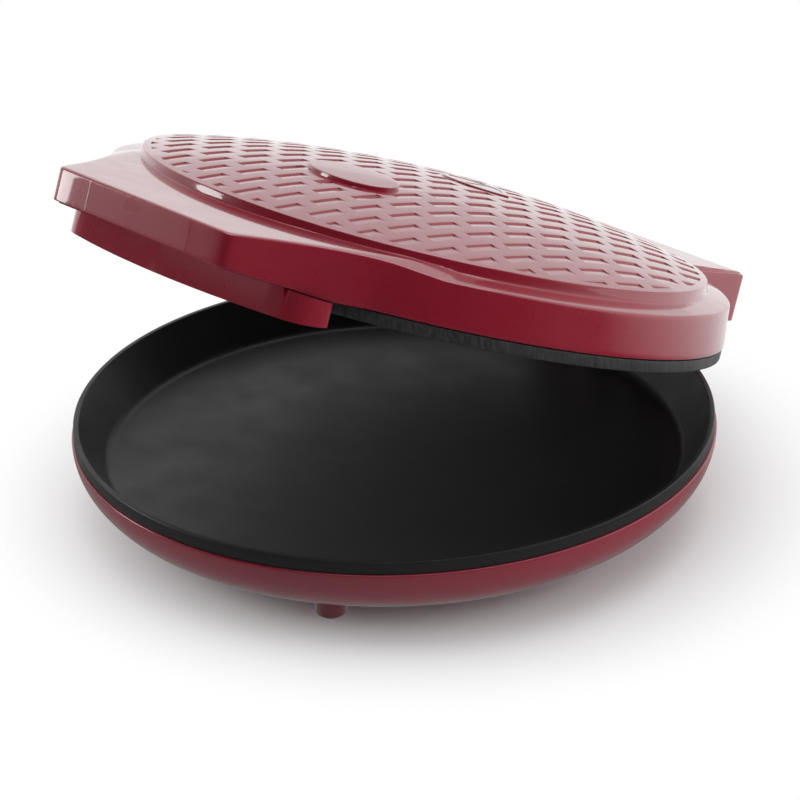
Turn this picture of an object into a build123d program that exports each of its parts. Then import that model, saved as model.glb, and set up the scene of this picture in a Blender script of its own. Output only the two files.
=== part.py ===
from build123d import *
import math
import os

# Electric pizza maker: a round base with a black non-stick pan, and a hinged lid with a black
# upper plate under a crowned red cover. Millimetres, +Z up, table at z = 0. The lid's handle
# faces -Y, the hinge is at +Y. Every piece is drawn with the pan's axis at x = y = 0 and the
# lid closed. place_base and place_lid then put it where it is at rest, with the lid ajar.

# Whole object
RIM_Z = 50.0             # top of the pan's rim
SEAM_Z = 43.0            # top of the red casing, under the pan's rim
CASING_R = 162.0
PAN_R = 161.0
REST_ANGLE = 21.4        # lid opening at rest, as in the photograph
HINGE_Y = 183.0
HINGE_Z = 49.0

# Base
CASING_BOTTOM_Z = 12.0
CASING_FLAT_R = 122.0    # the bowl is flat inside this radius
CASING_HOLE_R = 102.0
WALL = 2.5
PAN_FLOOR_Z = 27.5
PAN_FLOOR_R = 146.0
PAN_LIP = 2.6
PAN_THICK = 3.0
FOOT_X = 62.0
FOOT_Y = 106.0
FOOT_R = 7.8
PAD_R = 5.5
PAD_Z = 2.4              # top of the rubber pad inside the foot
ELEMENT_R = 90.0         # mean radius of both heating rings
TUBE_R = 3.25
ELEMENT_PAD = 6.0        # half width of the cast ring that holds a heating tube
REFLECTOR_R = 102.0
SHEET = 0.8
COVER_R = 109.5
COVER_THICK = 2.0

# Screws
SCREW_PLAY = 0.1         # every screw hole is this much wider than the shank, in radius
PAN_SCREW_R = 2.0
COVER_SCREW_R = 1.5
SHEET_SCREW_R = 1.25
BOARD_SCREW_R = 1.2
PAN_BOSS_R = 5.0
SHEET_BOSS_R = 4.0
COVER_BOSS_R = 4.5
BOARD_BOSS_R = 3.2

# Cord inlet, through the back of the bowl
GROMMET_X = -48.0
GROMMET_Z = 28.0
GROMMET_R = 5.5
GROMMET_BORE = 3.6
GROMMET_HEAD_R = 8.0
GROMMET_HEAD = 2.5
GROMMET_IN = 153.5       # inner end, clear of the pan
GROMMET_SEAT = 161.0     # face of the casing's boss
GROMMET_BOSS_R = 9.0

# Lid, closed
LID_GAP = 0.3            # plate to pan rim, closed
PLATE_Z = RIM_Z + LID_GAP
PLATE_R = 158.8
PLATE_TOP_Z = 56.2       # top of the plate's rim
PLATE_ROOF_Z = 62.3      # cooking face of the recessed middle
PLATE_BACK_Z = 66.3
FLANGE_Z = 56.7          # lower edge of the red cover
FLANGE_R = 159.2
SHOULDER_R = 157.2
SHOULDER_Z = 77.5
STEP_R = 144.8           # foot of the step round the pattern disc
STEP_Z = 80.2
DISC_R = 143.6
DISC_Z = 85.7
CROWN = 16.0
HANDLE_Y = 195.0
HANDLE_HALF = 59.5
HANDLE_EDGE_Z = 79.5
ROOF_Z = 81.4            # where the handle's top meets the step round the disc
BEND_Y = 145.0           # the lid's underside rises in front of this line
BEND_SLOPE = 0.134
BOX_HALF = 56.0
BOX_Y = 196.0
BOX_Z = 52.5
BOX_TOP_Z = 78.5
GUARD_Z = 44.5
GUARD_Y = 172.5
GUARD_THICK = 2.2
FRAME_THICK = 2.5
FRAME_HOLE_R = 151.2

# Hinge
PIN_R = 2.5
PIN_PLAY = 0.05
KNUCKLE_R = 8.0
ARM_IN = 9.0
ARM_OUT = 21.0
KNUCKLE_IN = 21.5
KNUCKLE_OUT = 29.5

# Top plates and the relief of the cover
BADGE_Y = -58.0
LAMP_Y = 32.0
BADGE_HALF = 26.0        # the badge is an oval
BADGE_WIDE = 17.5
LAMP_HALF = 23.0         # the lamps' plate is a lens of two arcs
LAMP_WIDE = 13.0
BADGE_PROUD = 1.9        # the badge stands this far over the crown
LAMP_PROUD = 0.7
PLATE_DEEP = 1.2
LAMP_X = 11.0
PATTERN_TURN = -1.2      # the pattern stands a little askew on the lid, in degrees
POCKET_PITCH = 26.0
ROW_PITCH = 13.2
POCKET_LONG = 18.0
POCKET_WIDE = 6.6
POCKET_DEEP = 0.7
POCKET_FIELD_R = 139.5
SMALLEST_POCKET = 6.0    # volume under which a pocket cut off by the disc's edge is left out

CROWN_R = (DISC_R ** 2 + CROWN ** 2) / (2 * CROWN)
CROWN_TOP = DISC_Z + CROWN
CROWN_MID = CROWN_TOP - CROWN_R

# The rearmost edge of the lid at rest sets where the pan's axis stands, so that the origin is
# under the middle of the whole object.
rest = math.radians(REST_ANGLE)
REAR_REACH = HINGE_Y + (BOX_Y - HINGE_Y) * math.cos(rest) + (BOX_TOP_Z - HINGE_Z) * math.sin(rest)
PAN_Y = (CASING_R - REAR_REACH) / 2

parts = {}


def join(pieces):
    """One piece stays as it is. Several alike, such as screws, become one part."""
    return pieces[0] if len(pieces) == 1 else Compound(pieces)


def place_base(name, *shapes):
    parts[name] = join([Pos(0, PAN_Y, 0) * shape for shape in shapes])


def place_lid(name, *shapes):
    hinge = Axis((0, HINGE_Y, HINGE_Z), (-1, 0, 0))
    parts[name] = join([Pos(0, PAN_Y, 0) * shape.rotate(hinge, REST_ANGLE) for shape in shapes])


def turned(outline):
    """Solid of revolution about Z from a closed (r, z) outline."""
    return revolve(make_face(Polyline([(r, 0, z) for r, z in outline], close=True)), Axis.Z)


def turned_edges(edges):
    return revolve(make_face(edges), Axis.Z)


def post(radius, low, high, x=0.0, y=0.0):
    return Pos(x, y, (low + high) / 2) * Cylinder(radius, high - low)


def block(x0, x1, y0, y1, z0, z1):
    return Pos((x0 + x1) / 2, (y0 + y1) / 2, (z0 + z1) / 2) * Box(x1 - x0, y1 - y0, z1 - z0)


def along_x(radius, x0, x1, y, z):
    return Pos((x0 + x1) / 2, y, z) * Rot(0, 90, 0) * Cylinder(radius, x1 - x0)


def slab(outline, half):
    """Prism along X from a closed (y, z) outline."""
    face = make_face(Polyline([(-half, y, z) for y, z in outline], close=True))
    return extrude(face, amount=2 * half, dir=(1, 0, 0))


def ring_places(count, radius, start=0.0):
    """Places on a circle; start is the first one's angle from +X."""
    turns = [math.radians(start + 360 * k / count) for k in range(count)]
    return [(radius * math.cos(t), radius * math.sin(t)) for t in turns]


def screw(x, y, seat, depth, head_r, head_h, shank_r, up=True):
    """Pan-head screw. up: the head is above its seat and the shank goes down."""
    sign = 1 if up else -1
    head = sorted((seat, seat + sign * head_h))
    shank = sorted((seat, seat - sign * depth))
    solid = post(head_r, head[0], head[1], x, y) + post(shank_r, shank[0], shank[1], x, y)
    return solid.solids()[0]


# Base

def bowl(inset):
    """The casing's outside, or its inside when inset is the wall."""
    a = CASING_R - CASING_FLAT_R - inset
    b = SEAM_Z - CASING_BOTTOM_Z - inset
    rim = (CASING_FLAT_R + a, 0, SEAM_Z)
    low = (CASING_FLAT_R, 0, SEAM_Z - b)
    wall = EllipticalCenterArc((CASING_FLAT_R, SEAM_Z), a, b, start_angle=270, arc_size=90)
    wall = Plane.XZ * wall
    lid_z = SEAM_Z + (5.0 if inset else 0.0)
    lines = [wall, Line(low, (0, 0, SEAM_Z - b)), Line((0, 0, SEAM_Z - b), (0, 0, lid_z))]
    lines.append(Line((0, 0, lid_z), (CASING_FLAT_R + a, 0, lid_z)))
    if inset:
        lines.append(Line((CASING_FLAT_R + a, 0, lid_z), rim))
    return turned_edges(lines)


def hinge_arms():
    """Two moulded arms that carry the hinge pin behind the pan."""
    top = (HINGE_Y - 6.2, HINGE_Z + 5.1)
    low = (HINGE_Y + 4.0, HINGE_Z - 7.0)
    outline = [(150.0, SEAM_Z), (CASING_R + 0.5, SEAM_Z), top, (HINGE_Y, HINGE_Z), low]
    outline += [(165.0, 25.0), (150.0, 21.0)]
    solid = slab(outline, ARM_OUT)
    solid += along_x(KNUCKLE_R, -ARM_OUT, ARM_OUT, HINGE_Y, HINGE_Z)
    gap = block(-ARM_IN, ARM_IN, CASING_R + 3, HINGE_Y + 20, 0, 90)
    return solid - gap


def radial(shape):
    """Turns a piece drawn along +Y to the cord inlet's direction."""
    turn = math.degrees(math.asin(-GROMMET_X / CASING_R))
    return shape.rotate(Axis.Z, turn)


def along_y(radius, y0, y1, z):
    return Pos(0, (y0 + y1) / 2, z) * Rot(90, 0, 0) * Cylinder(radius, y1 - y0)


PAN_BOSSES = ring_places(4, 114.0, 0.0)
COVER_SCREWS = ring_places(4, 105.8, 45.0)
PAN_BOSS_Z = 19.0


def base_casing():
    outside = bowl(0.0) + hinge_arms()
    outside += radial(along_y(GROMMET_BOSS_R, 150.0, GROMMET_SEAT, GROMMET_Z))
    for sx in (-1, 1):
        for sy in (-1, 1):
            foot = post(FOOT_R, 0.8, 16.0, sx * FOOT_X, sy * FOOT_Y)
            foot = fillet(foot.edges().group_by(Axis.Z)[0], 1.6)
            outside += foot
    solid = outside - bowl(WALL)
    solid -= post(CASING_HOLE_R, 0, 30)
    solid -= radial(along_y(GROMMET_R, 130, 175, GROMMET_Z))
    bosses = [post(PAN_BOSS_R, CASING_BOTTOM_Z + 0.5, PAN_BOSS_Z, x, y) for x, y in PAN_BOSSES]
    solid = solid + bosses
    solid -= [post(PAN_SCREW_R + SCREW_PLAY, 5, 30, x, y) for x, y in PAN_BOSSES]
    solid -= [post(COVER_SCREW_R + SCREW_PLAY, 5, 30, x, y) for x, y in COVER_SCREWS]
    solid -= [post(PAD_R, 0, PAD_Z, sx * FOOT_X, sy * FOOT_Y) for sx in (-1, 1) for sy in (-1, 1)]
    solid -= along_x(PIN_R, -40, 40, HINGE_Y, HINGE_Z)
    return solid


def baking_pan():
    rim_in = PAN_R - PAN_LIP
    under = PAN_FLOOR_Z - PAN_THICK
    outline = [(0, PAN_FLOOR_Z), (PAN_FLOOR_R, PAN_FLOOR_Z), (rim_in, RIM_Z), (PAN_R, RIM_Z)]
    outline += [(PAN_R, SEAM_Z + 0.5), (157.6, SEAM_Z + 0.5), (148.0, under), (0, under)]
    solid = turned(outline)
    pad = post(ELEMENT_R + ELEMENT_PAD, under - 2.0, under + 0.5)
    solid += pad - post(ELEMENT_R - ELEMENT_PAD, 0, 40)
    channel = post(ELEMENT_R + TUBE_R, 0, under + 1.0) - post(ELEMENT_R - TUBE_R, 0, 40)
    solid -= channel
    solid = solid + [post(PAN_BOSS_R, PAN_BOSS_Z, under + 0.5, x, y) for x, y in PAN_BOSSES]
    solid = solid + [post(SHEET_BOSS_R, LOWER_SHEET_Z, under + 0.5, x, y) for x, y in SHEET_SCREWS]
    solid -= [post(PAN_SCREW_R + SCREW_PLAY, 0, under - 0.5, x, y) for x, y in PAN_BOSSES]
    solid -= [post(SHEET_SCREW_R + SCREW_PLAY, 0, under - 0.5, x, y) for x, y in SHEET_SCREWS]
    return solid


LOWER_SHEET_Z = 18.0
UPPER_SHEET_Z = 72.5
SHEET_SCREWS = ring_places(4, 60.0, 45.0)
GAP_ANGLE = 30.0


def heating_ring(mid_z, pin_to):
    """Open ring of tube with a contact pin at each end. The gap faces the hinge."""
    circle = Plane.XZ * Pos(ELEMENT_R, mid_z) * Circle(TUBE_R)
    ring = revolve(circle, Axis.Z, 360 - GAP_ANGLE)
    ring = ring.rotate(Axis.Z, 90 + GAP_ANGLE / 2)
    for sign in (-1, 1):
        turn = math.radians(90 + sign * (GAP_ANGLE / 2 + 1.6))
        x = ELEMENT_R * math.cos(turn)
        y = ELEMENT_R * math.sin(turn)
        ring += post(2.2, min(mid_z, pin_to), max(mid_z, pin_to), x, y)
    return ring


def reflector(low, skirt_low, skirt_high):
    """Pressed sheet with a turned rim and holes for screws, contact pins and thermostat."""
    solid = post(REFLECTOR_R, low, low + SHEET)
    solid += post(REFLECTOR_R, skirt_low, skirt_high) - post(REFLECTOR_R - SHEET, 0, 100)
    holes = [post(SHEET_SCREW_R + SCREW_PLAY, 0, 100, x, y) for x, y in SHEET_SCREWS]
    holes.append(post(10.5, 0, 100))
    for sign in (-1, 1):
        turn = math.radians(90 + sign * (GAP_ANGLE / 2 + 1.6))
        holes.append(post(4.5, 0, 100, ELEMENT_R * math.cos(turn), ELEMENT_R * math.sin(turn)))
    return solid - holes


def thermostat(seat, up):
    """Snap-disc thermostat against the back of a plate, with two flat contacts."""
    sign = 1 if up else -1
    body = post(8.5, min(seat, seat + sign * 6.5), max(seat, seat + sign * 6.5))
    tip = seat + sign * 6.5
    ends = sorted((tip, tip + sign * 3.5))
    for x in (-4.0, 4.0):
        body += block(x - 0.4, x + 0.4, -3.0, 3.0, ends[0], ends[1])
    return body


def thermal_fuse(seat, up):
    """Cylinder fuse in a sheet clip, on a reflector."""
    sign = 1 if up else -1
    clip = block(20, 38, -31, -25, min(seat, seat + sign * SHEET), max(seat, seat + sign * SHEET))
    mid = seat + sign * (SHEET + 1.6)
    return clip + along_x(1.8, 22, 36, -28, mid)


def base_pieces():
    place_base("base_casing", base_casing())
    place_base("baking_pan", baking_pan())
    under = PAN_FLOOR_Z - PAN_THICK
    low = CASING_BOTTOM_Z - COVER_THICK
    cover = post(COVER_R, low, CASING_BOTTOM_Z)
    cover -= [post(COVER_SCREW_R + SCREW_PLAY, 0, 20, x, y) for x, y in COVER_SCREWS]
    vents = [block(-24, 24, y - 1.5, y + 1.5, 0, 20) for y in (-30.0, -15.0, 0.0, 15.0, 30.0)]
    place_base("base_bottom_cover", cover - vents)
    for side, sx in (("left", -1), ("right", 1)):
        for end, sy in (("front", -1), ("rear", 1)):
            place_base(f"foot_pad_{end}_{side}", post(PAD_R, 0, PAD_Z, sx * FOOT_X, sy * FOOT_Y))
    place_base("lower_heating_element", heating_ring(under + 1.0 - TUBE_R, 15.0))
    place_base("lower_reflector", reflector(LOWER_SHEET_Z - SHEET, LOWER_SHEET_Z - SHEET, 21.0))
    place_base("lower_thermostat", thermostat(under, False))
    place_base("lower_thermal_fuse", thermal_fuse(LOWER_SHEET_Z - SHEET, False))
    seat = CASING_BOTTOM_Z + WALL
    terminal = block(20, 46, 101, 111, seat, seat + 7.5)
    terminal -= [post(1.6, seat + 2, 40, x, 106.0) for x in (25.0, 33.0, 41.0)]
    place_base("terminal_block", terminal)
    sleeve = along_y(GROMMET_R, GROMMET_IN, GROMMET_SEAT, GROMMET_Z)
    sleeve += along_y(GROMMET_HEAD_R, GROMMET_SEAT, GROMMET_SEAT + GROMMET_HEAD, GROMMET_Z)
    sleeve -= along_y(GROMMET_BORE, 120, 190, GROMMET_Z)
    place_base("cord_grommet", radial(sleeve))
    bottom = CASING_BOTTOM_Z
    screws = [screw(x, y, bottom, 11.0, 4.0, 2.0, PAN_SCREW_R, up=False) for x, y in PAN_BOSSES]
    place_base("pan_screws", *screws)
    screws = [screw(x, y, low, 4.5, 3.2, 1.8, COVER_SCREW_R, up=False) for x, y in COVER_SCREWS]
    place_base("bottom_cover_screws", *screws)
    sheet = LOWER_SHEET_Z - SHEET
    screws = [screw(x, y, sheet, 5.0, 2.6, 1.6, SHEET_SCREW_R, up=False) for x, y in SHEET_SCREWS]
    place_base("lower_reflector_screws", *screws)
    pin = along_x(PIN_R, -KNUCKLE_OUT - 1.6, KNUCKLE_OUT + 1.6, HINGE_Y, HINGE_Z)
    for sign in (-1, 1):
        ends = sorted((sign * (KNUCKLE_OUT + 0.4), sign * (KNUCKLE_OUT + 1.6)))
        pin += along_x(4.0, ends[0], ends[1], HINGE_Y, HINGE_Z)
    place_base("hinge_pin", pin)


# Lid

def crown_z(x, y):
    return CROWN_MID + math.sqrt(CROWN_R ** 2 - x * x - y * y)


def ball(radius):
    return Pos(0, 0, CROWN_MID) * Sphere(radius)


def dome(inset, low):
    """The round part of the cover, or its inside when inset is the wall."""
    crown = CROWN_R - inset
    edge_r = DISC_R - inset
    edge_z = CROWN_MID + math.sqrt(crown ** 2 - edge_r ** 2)
    mid_r = edge_r / 2
    mid_z = CROWN_MID + math.sqrt(crown ** 2 - mid_r ** 2)
    points = [(edge_r, edge_z), (STEP_R - inset, STEP_Z - inset)]
    points += [(SHOULDER_R - inset, SHOULDER_Z - inset), (FLANGE_R - inset, FLANGE_Z)]
    if low < FLANGE_Z:
        points.append((FLANGE_R - inset, low))
    points += [(0, low), (0, CROWN_MID + crown)]
    lines = [Line((a[0], 0, a[1]), (b[0], 0, b[1])) for a, b in zip(points, points[1:])]
    arc = ThreePointArc((0, 0, CROWN_MID + crown), (mid_r, 0, mid_z), (edge_r, 0, edge_z))
    return turned_edges(lines + [arc])


def handle_plan(inset):
    """Plan of the handle: a flat front whose sides run in slight hollows to the round."""
    half = HANDLE_HALF - inset
    front = -HANDLE_Y + inset
    side = (119.5 - inset, -100.3)
    mid = (79.5 - inset, -150.0)
    right = ThreePointArc((half, front), mid, side)
    left = ThreePointArc((-side[0], side[1]), (-mid[0], mid[1]), (-half, front))
    face = make_face([Line((-half, front), (half, front)), right, Line(side, (-side[0], side[1])), left])
    corners = face.vertices().filter_by(lambda v: abs(v.Y - front) < 0.01)
    return fillet(corners, max(7.0 - inset, 0.8))


def roof_planes(drop):
    """Planes over the handle: one slopes to the front edge, two fall to the sides."""
    front = (HANDLE_HALF, -HANDLE_Y, HANDLE_EDGE_Z - drop)
    middle = Plane(origin=(0, -DISC_R, ROOF_Z - drop), x_dir=(1, 0, 0),
                   z_dir=(0, -(ROOF_Z - HANDLE_EDGE_Z), HANDLE_Y - DISC_R))
    sides = []
    for sign in (-1, 1):
        sides.append(Plane(origin=(sign * front[0], front[1], front[2]), x_dir=(0, 1, 0.1788),
                           z_dir=(sign * 0.3147, -0.1788, 1)))
    return [middle] + sides


def handle(inset, low):
    solid = extrude(Pos(0, 0, low) * handle_plan(inset), amount=110 - low)
    for plane in roof_planes(inset):
        solid = split(solid, bisect_by=plane, keep=Keep.BOTTOM)
    return solid


def hinge_box(inset, low):
    top = BOX_TOP_Z - inset
    back = BOX_Y - inset
    outline = [(90.0, low), (back, low), (back, top), (150.0, top + 2.0), (90.0, top + 4.0)]
    solid = slab(outline, BOX_HALF - inset)
    edges = solid.edges().filter_by(Axis.Z).filter_by(lambda e: e.center().Y > 150)
    return fillet(edges, max(3.0 - inset, 0.8))


def under_bend(level, depth=60.0):
    """Everything below the lid's underside line, which rises towards the handle."""
    front = -HANDLE_Y - 15
    rise = BEND_SLOPE * (-front - BEND_Y)
    outline = [(230, level), (-BEND_Y, level), (front, level + rise)]
    outline += [(front, level - depth), (230, level - depth)]
    return slab(outline, 200)


def badge_prism(grow=0.0):
    """The badge's oval, long across the lid."""
    return extrude(Pos(0, BADGE_Y, 80) * Ellipse(BADGE_HALF + grow, BADGE_WIDE + grow), amount=40)


def lamp_prism(grow=0.0):
    """The lamps' pointed oval of two arcs, long across the lid."""
    tip = LAMP_HALF + grow * 1.6
    wide = LAMP_WIDE + grow
    near = ThreePointArc((-tip, LAMP_Y, 80), (0, LAMP_Y - wide, 80), (tip, LAMP_Y, 80))
    far = ThreePointArc((tip, LAMP_Y, 80), (0, LAMP_Y + wide, 80), (-tip, LAMP_Y, 80))
    return extrude(make_face([near, far]), amount=40)


POCKET_X = -6.0          # first row's middle, across the lid
POCKET_Y = -13.7         # first pocket's middle, along the lid


def pocket_places():
    """Middles of the pockets: rows across the lid, every other row shifted by half a pitch."""
    places = []
    reach = int(POCKET_FIELD_R / ROW_PITCH) + 1
    for row in range(-reach, reach + 1):
        x = POCKET_X + row * ROW_PITCH
        shift = POCKET_PITCH / 2 if row % 2 else 0.0
        for step in range(-7, 8):
            y = POCKET_Y + shift + step * POCKET_PITCH
            if math.hypot(x, y) < POCKET_FIELD_R + 4:
                places.append((x, y))
    return places


def pockets():
    """Wedges that cut the relief: deep at their -X wall, running out towards +X. They stop short
    of the two top plates and of the disc's edge."""
    half = POCKET_WIDE / 2
    outline = [(-half, 0, 2), (-half, 0, -POCKET_DEEP), (half, 0, 0), (half, 0, 2)]
    face = make_face(Polyline(outline, close=True))
    wedge = extrude(face, amount=POCKET_LONG, dir=(0, 1, 0)).moved(Pos(0, -POCKET_LONG / 2, 0))
    field = post(POCKET_FIELD_R, 60, 130)
    plates = [(BADGE_Y, badge_prism(1.0)), (LAMP_Y, lamp_prism(1.0))]
    cutters = []
    for x, y in pocket_places():
        z = crown_z(x, y)
        frame = Plane(origin=(x, y, z), x_dir=(z - CROWN_MID, 0, -x), z_dir=(x, y, z - CROWN_MID))
        cutter = (frame.location * wedge).rotate(Axis.Z, PATTERN_TURN)
        if math.hypot(x, y) + POCKET_LONG > POCKET_FIELD_R:
            cutter = cutter & field
        for middle, prism in plates:
            if abs(x) < BADGE_HALF + POCKET_WIDE and abs(y - middle) < BADGE_WIDE + POCKET_LONG:
                cutter = cutter - prism
        cutters += [piece for piece in cutter.solids() if piece.volume > SMALLEST_POCKET]
    return cutters


FRONT_BOSSES = [(-38.0, -163.5), (38.0, -163.5)]
REAR_BOSSES = [(-42.0, 174.0), (42.0, 174.0)]
FRAME_Z = PLATE_TOP_Z
BOARD_Z = 86.0
BOARD_THICK = 1.6
BOARD_POSTS = [(-25.0, LAMP_Y), (25.0, LAMP_Y)]


def frame_top(y):
    return FRAME_Z + FRAME_THICK + BEND_SLOPE * max(0.0, -y - BEND_Y)


def lid_cover():
    outside = dome(0.0, FLANGE_Z) + (handle(0.0, FLANGE_Z) - under_bend(FLANGE_Z))
    box = hinge_box(0.0, BOX_Z) - post(FLANGE_R, 40, FLANGE_Z)
    outside += block_clip(box)
    inside = dome(WALL, 40.0) + handle(WALL, 40.0) + hinge_box(WALL, 40.0)
    shell = outside - inside
    bosses = [post(COVER_BOSS_R, FRAME_Z, 95, x, y) for x, y in FRONT_BOSSES + REAR_BOSSES]
    bosses += [post(BOARD_BOSS_R, BOARD_Z + BOARD_THICK, 110, x, y) for x, y in BOARD_POSTS]
    fill = outside_core() - under_bend(FRAME_Z + FRAME_THICK)
    for boss in bosses:
        shell += boss & fill
    hole = COVER_SCREW_R + SCREW_PLAY
    shell -= [post(hole, 40, frame_top(y) + 9.0, x, y) for x, y in FRONT_BOSSES + REAR_BOSSES]
    shell -= [post(BOARD_SCREW_R + SCREW_PLAY, 40, BOARD_Z + 8.0, x, y) for x, y in BOARD_POSTS]
    for prism in (badge_prism(), lamp_prism()):
        shell -= prism - ball(CROWN_R - PLATE_DEEP)
    shell -= [post(5.0, 85, 120, sx * LAMP_X, LAMP_Y) for sx in (-1, 1)]
    return shell


def block_clip(box):
    """Keeps the hinge box to the part that stands outside the step round the disc."""
    return box - post(DISC_R - 4, 0, 120)


def outside_core():
    return dome(1.0, 40.0) + handle(1.0, 40.0) + hinge_box(1.0, 40.0)


def guard_band():
    """Plan of the finger guard: a shallow arc whose ends turn in to the lid's round."""
    def plan(inset):
        side = (72.0 - 0.3 * inset, -162.0 + inset)
        mid = (79.6 - 0.8 * inset, -157.0 + 0.6 * inset)
        end = (83.5 - inset, -143.5 + 0.6 * inset)
        front = ThreePointArc((-side[0], side[1]), (0, -GUARD_Y + inset), side)
        right = ThreePointArc(side, mid, end)
        left = ThreePointArc((-end[0], end[1]), (-mid[0], mid[1]), (-side[0], side[1]))
        return make_face([front, right, Line(end, (-end[0], end[1])), left])
    return plan(0.0) - plan(GUARD_THICK)


def lid_inner_frame():
    plan = WALL + 0.4
    solid = post(FLANGE_R - plan - 0.2, 40, 90) + handle(plan, 40.0) + hinge_box(plan, 40.0)
    solid = solid & (under_bend(FRAME_Z + FRAME_THICK) - under_bend(FRAME_Z, 80))
    solid -= post(FRAME_HOLE_R, 0, 100)
    solid -= block(-KNUCKLE_IN - 0.3, KNUCKLE_IN + 0.3, 160.5, 220, 0, 100)
    band = extrude(Pos(0, 0, GUARD_Z) * guard_band(), amount=30)
    solid += band & under_bend(FRAME_Z)
    solid += band & handle(plan, 40.0) & under_bend(FRAME_Z + 1.0)
    for sign in (-1, 1):
        ends = sorted((sign * KNUCKLE_IN, sign * KNUCKLE_OUT))
        solid += along_x(KNUCKLE_R, ends[0], ends[1], HINGE_Y, HINGE_Z)
        web = (HINGE_Y - KNUCKLE_R, HINGE_Y + KNUCKLE_R)
        solid += block(ends[0], ends[1], web[0], web[1], HINGE_Z, FRAME_Z + 1.0)
    solid -= along_x(PIN_R + PIN_PLAY, -40, 40, HINGE_Y, HINGE_Z)
    hole = COVER_SCREW_R + SCREW_PLAY
    solid -= [post(hole, 40, 90, x, y) for x, y in FRONT_BOSSES + REAR_BOSSES + FRAME_SCREWS]
    return solid


FRAME_SCREWS = ring_places(6, 153.4, 0.0)


def upper_plate():
    outline = [(0, PLATE_ROOF_Z), (140, PLATE_ROOF_Z), (147, PLATE_Z), (PLATE_R, PLATE_Z)]
    outline += [(PLATE_R, PLATE_TOP_Z), (151, PLATE_TOP_Z), (145.2, PLATE_BACK_Z), (0, PLATE_BACK_Z)]
    solid = turned(outline)
    pad = post(ELEMENT_R + ELEMENT_PAD, PLATE_BACK_Z - 0.5, PLATE_BACK_Z + 2)
    solid += pad - post(ELEMENT_R - ELEMENT_PAD, 0, 100)
    channel = post(ELEMENT_R + TUBE_R, PLATE_BACK_Z - 1.0, 90) - post(ELEMENT_R - TUBE_R, 0, 100)
    solid -= channel
    low = PLATE_BACK_Z - 0.5
    solid = solid + [post(SHEET_BOSS_R, low, UPPER_SHEET_Z, x, y) for x, y in SHEET_SCREWS]
    solid -= [post(SHEET_SCREW_R + SCREW_PLAY, low + 1, 90, x, y) for x, y in SHEET_SCREWS]
    solid -= [post(COVER_SCREW_R + SCREW_PLAY, PLATE_Z + 1.2, 90, x, y) for x, y in FRAME_SCREWS]
    return solid


def top_plate(prism, proud):
    """A plate that follows the crown, set in its recess and standing proud."""
    return (prism & ball(CROWN_R + proud)) - ball(CROWN_R - PLATE_DEEP)


def lid_pieces():
    cover = lid_cover()
    cover = cover.cut(*pockets())
    place_lid("lid_cover", cover)
    place_lid("lid_inner_frame", lid_inner_frame())
    place_lid("upper_plate", upper_plate())
    place_lid("upper_heating_element", heating_ring(PLATE_BACK_Z - 1.0 + TUBE_R, 81.0))
    place_lid("upper_reflector", reflector(UPPER_SHEET_Z, 69.2, UPPER_SHEET_Z + SHEET))
    place_lid("upper_thermostat", thermostat(PLATE_BACK_Z, True))
    place_lid("upper_thermal_fuse", thermal_fuse(UPPER_SHEET_Z + SHEET, True))
    place_lid("badge_plate", top_plate(badge_prism(), BADGE_PROUD))
    inner = lamp_prism(-3.0)
    place_lid("lamp_bezel", top_plate(lamp_prism(), LAMP_PROUD) - (inner - block(-1.0, 1.0, 0, 90, 0, 130)))
    for name, sign in (("red", -1), ("green", 1)):
        ends = sorted((sign * 1.0, sign * 60.0))
        half = inner & block(ends[0], ends[1], 0, 90, 0, 130)
        lens = (half & ball(CROWN_R + LAMP_PROUD - 0.3)) - ball(CROWN_R - PLATE_DEEP)
        place_lid(f"{name}_lens", lens)
        bulb = post(3.0, BOARD_Z + BOARD_THICK, 93.0, sign * LAMP_X, LAMP_Y)
        bulb = fillet(bulb.edges().group_by(Axis.Z)[-1], 2.0)
        place_lid(f"{name}_lamp", bulb)
    board = block(-30, 30, LAMP_Y - 9, LAMP_Y + 9, BOARD_Z, BOARD_Z + BOARD_THICK)
    holes = [post(BOARD_SCREW_R + SCREW_PLAY, 0, 120, x, y) for x, y in BOARD_POSTS]
    place_lid("lamp_board", board - holes)
    screws = [screw(x, y, BOARD_Z, 6.0, 2.5, 1.6, BOARD_SCREW_R, up=False) for x, y in BOARD_POSTS]
    place_lid("lamp_board_screws", *screws)
    seat = FRAME_Z + FRAME_THICK
    screws = [screw(x, y, seat, 6.0, 2.4, 1.8, COVER_SCREW_R) for x, y in FRAME_SCREWS]
    place_lid("frame_screws", *screws)
    seat = UPPER_SHEET_Z + SHEET
    screws = [screw(x, y, seat, 5.0, 2.6, 1.6, SHEET_SCREW_R) for x, y in SHEET_SCREWS]
    place_lid("upper_reflector_screws", *screws)
    screws = []
    for x, y in FRONT_BOSSES + REAR_BOSSES:
        seat = frame_top(y) - FRAME_THICK - (0.4 if y < 0 else 0.0)
        screws.append(screw(x, y, seat, 10.0, 2.8, 1.8, COVER_SCREW_R, up=False))
    place_lid("cover_screws", *screws)


base_pieces()
lid_pieces()

os.makedirs("parts", exist_ok=True)
for name, shape in parts.items():
    export_step(shape, f"parts/{name}.step")
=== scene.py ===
"""Electric pizza maker with its lid ajar: a crimson lid with a relief of pockets, a black pan and
plate, and a round crimson base. Shapes are worked out in millimetres about the pan's axis with the
lid closed. on_base and on_lid take them to the frame's metres, with the lid at rest."""
import math

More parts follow.
